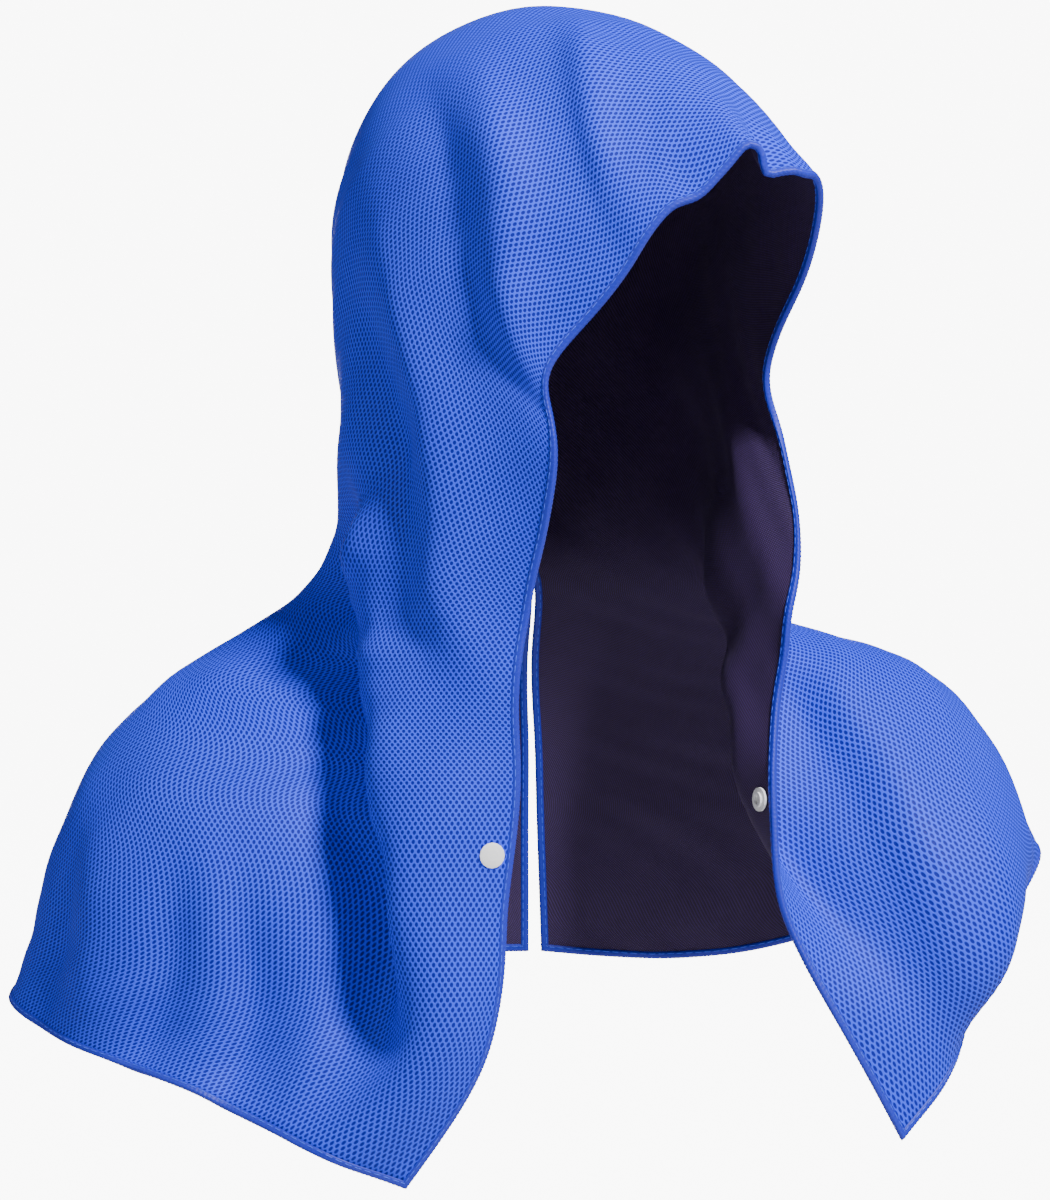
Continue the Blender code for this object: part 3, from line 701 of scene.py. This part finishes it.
def lining_material():
    """Fine dark twill, with a faint purple painted highlight on the crests of its diagonal."""
    surface = Surface("lining_dark")
    places, across_place, along_place = weave_places(surface)
    slant = surface.math("ADD", across_place, surface.math("MULTIPLY", along_place, TWILL_SLOPE))
    crest = surface.wave(slant, TWILL_PITCH)
    cross = surface.wave(surface.math("SUBTRACT", across_place, along_place), TWILL_CROSS)
    knot = surface.math("MULTIPLY", crest, cross)
    fibre = surface.noise(places, TWILL_FIBRE, 1.0)
    # Painted highlight: the crests of the twill take the lighter purple.
    surface.put(surface.shader.inputs["Base Color"], surface.mix(knot, LINING_GROUND, LINING_CREST_HIGHLIGHT))
    surface.gloss(roughness=0.72, sheen=0.05, tint=LINING_SHEEN)
    surface.bump(surface.relief(knot, fibre), distance=0.0004, strength=0.7)
    return surface.material


def thread_material(name, colours):
    """Twisted thread, lighter where its fibres catch the light."""
    surface = Surface(name)
    place = surface.add("ShaderNodeTexCoord").outputs["Object"]
    fibre = surface.noise(place, THREAD_FIBRE, 3.0)
    surface.put(surface.shader.inputs["Base Color"], surface.mix(fibre, *colours))
    surface.gloss(roughness=0.55, sheen=0.08, sheen_roughness=0.4)
    surface.bump(fibre, distance=0.0002, strength=0.6)
    return surface.material


def snap_material():
    """Moulded white plastic with a faint unevenness in its gloss."""
    surface = Surface("snap_white")
    place = surface.add("ShaderNodeTexCoord").outputs["Object"]
    cloudy = surface.noise(place, SNAP_CLOUDS, 2.0)
    surface.put(surface.shader.inputs["Base Color"], surface.mix(cloudy, *SNAP_COLOURS))
    surface.gloss(roughness=0.28)
    surface.bump(cloudy, distance=0.0001, strength=0.15)
    return surface.material


def floor_material():
    """A plain pale surface."""
    surface = Surface("floor_pale")
    surface.shader.inputs["Base Color"].default_value = FLOOR_COLOUR
    surface.gloss(roughness=0.9)
    return surface.material


def area_light(light):
    """A soft square light that looks at the middle of the towel."""
    lamp = bpy.data.lights.new(light.name, "AREA")
    lamp.size = light.size
    lamp.energy = light.power
    holder = bpy.data.objects.new(light.name, lamp)
    holder.location = light.place
    holder.rotation_euler = (Vector(MIDDLE) - Vector(light.place)).to_track_quat("-Z", "Y").to_euler()
    bpy.context.collection.objects.link(holder)


def staged(name, corners, material):
    """A flat surface that isn't part of the object."""
    mesh = mesh_from(name, corners, [(0, 1, 2, 3)], smooth=False)
    mesh.materials.append(material)
    surface = bpy.data.objects.new(name, mesh)
    bpy.context.collection.objects.link(surface)


# The studio
FLOOR = -0.95
FLOOR_SIDE = 2.0
FLOOR_FRONT = -1.8
FLOOR_BACK = 1.45
SKY_LIGHT = 0.07
GROUND_LIGHT = 0.42
BEHIND_LIGHT = 9.0
HORIZON = (0.02, 0.10)
BEHIND = (0.960, 0.972)
MIDDLE = (0.0, 0.0, -0.30)
Light = namedtuple("Light", "name place size power")
LIGHTS = (
    Light("key", (1.10, -1.55, 1.50), 0.45, 150.0),
    Light("side", (-1.70, -0.60, 0.75), 0.8, 11.0),
)


def surroundings():
    """The world: dim above, pale below the horizon, and bright straight behind the object."""
    world = bpy.data.worlds.new("studio")
    world.use_nodes = True
    nodes = Nodes(world.node_tree)
    split = nodes.add("ShaderNodeSeparateXYZ")
    nodes.put(split.inputs[0], nodes.add("ShaderNodeTexCoord").outputs["Generated"])
    below = nodes.smooth(nodes.math("MULTIPLY", split.outputs["Z"], -1.0), *HORIZON)
    behind = nodes.smooth(split.outputs["Y"], *BEHIND)
    strength = nodes.math("ADD", nodes.math("MULTIPLY", below, GROUND_LIGHT - SKY_LIGHT), SKY_LIGHT)
    strength = nodes.math("ADD", strength, nodes.math("MULTIPLY", behind, BEHIND_LIGHT))
    background = world.node_tree.nodes["Background"]
    background.inputs["Color"].default_value = (1.0, 1.0, 1.0, 1.0)
    nodes.put(background.inputs["Strength"], strength)
    bpy.context.scene.world = world


def studio():
    """A pale floor, soft light and the camera."""
    front = [(-FLOOR_SIDE, FLOOR_FRONT, FLOOR), (FLOOR_SIDE, FLOOR_FRONT, FLOOR)]
    back = [(FLOOR_SIDE, FLOOR_BACK, FLOOR), (-FLOOR_SIDE, FLOOR_BACK, FLOOR)]
    staged("floor", front + back, floor_material())
    surroundings()
    for light in LIGHTS:
        area_light(light)
    lens = bpy.data.cameras.new("photo_camera")
    lens.sensor_fit = "VERTICAL"
    lens.angle = 2 * atan(PHOTO_SIZE[1] * PHOTO_SCALE / 2 / -CAMERA_PLACE[1])
    camera = bpy.data.objects.new("photo_camera", lens)
    camera.location = CAMERA_PLACE
    camera.rotation_euler = (pi / 2, 0.0, 0.0)
    bpy.context.collection.objects.link(camera)
    bpy.context.scene.camera = camera


def towel():
    """The towel's own pieces, made from one sheet as two cloths."""
    sheet = sheet_grid()
    grid, sections, joined, lengths, widths = sheet
    places = (grid, joined, lengths, widths)
    outer = cloth_layer("woven_mesh", "mesh_cloth", places, 1, CLOTH_WALL, mesh_material(), "mesh_blue")
    inner = cloth_layer("twill_lining", "lining", places, -1, LINING_WALL, lining_material(), "lining_dark")
    run = hem_frames(*sheet)
    edge = stitched_edge(run, thread_material("edge_thread", EDGE_COLOURS))
    needle = thread_material("needle_thread", NEEDLE_COLOURS)
    stitches = needle_stitches(run, seam_frames(*sheet), needle)
    white = snap_material()
    for name in ("snap_cap_right", "snap_stud_right", "snap_cap_left", "snap_socket_left"):
        materials = bpy.data.objects[name].data.materials
        materials.clear()
        materials.append(white)


towel()
studio()
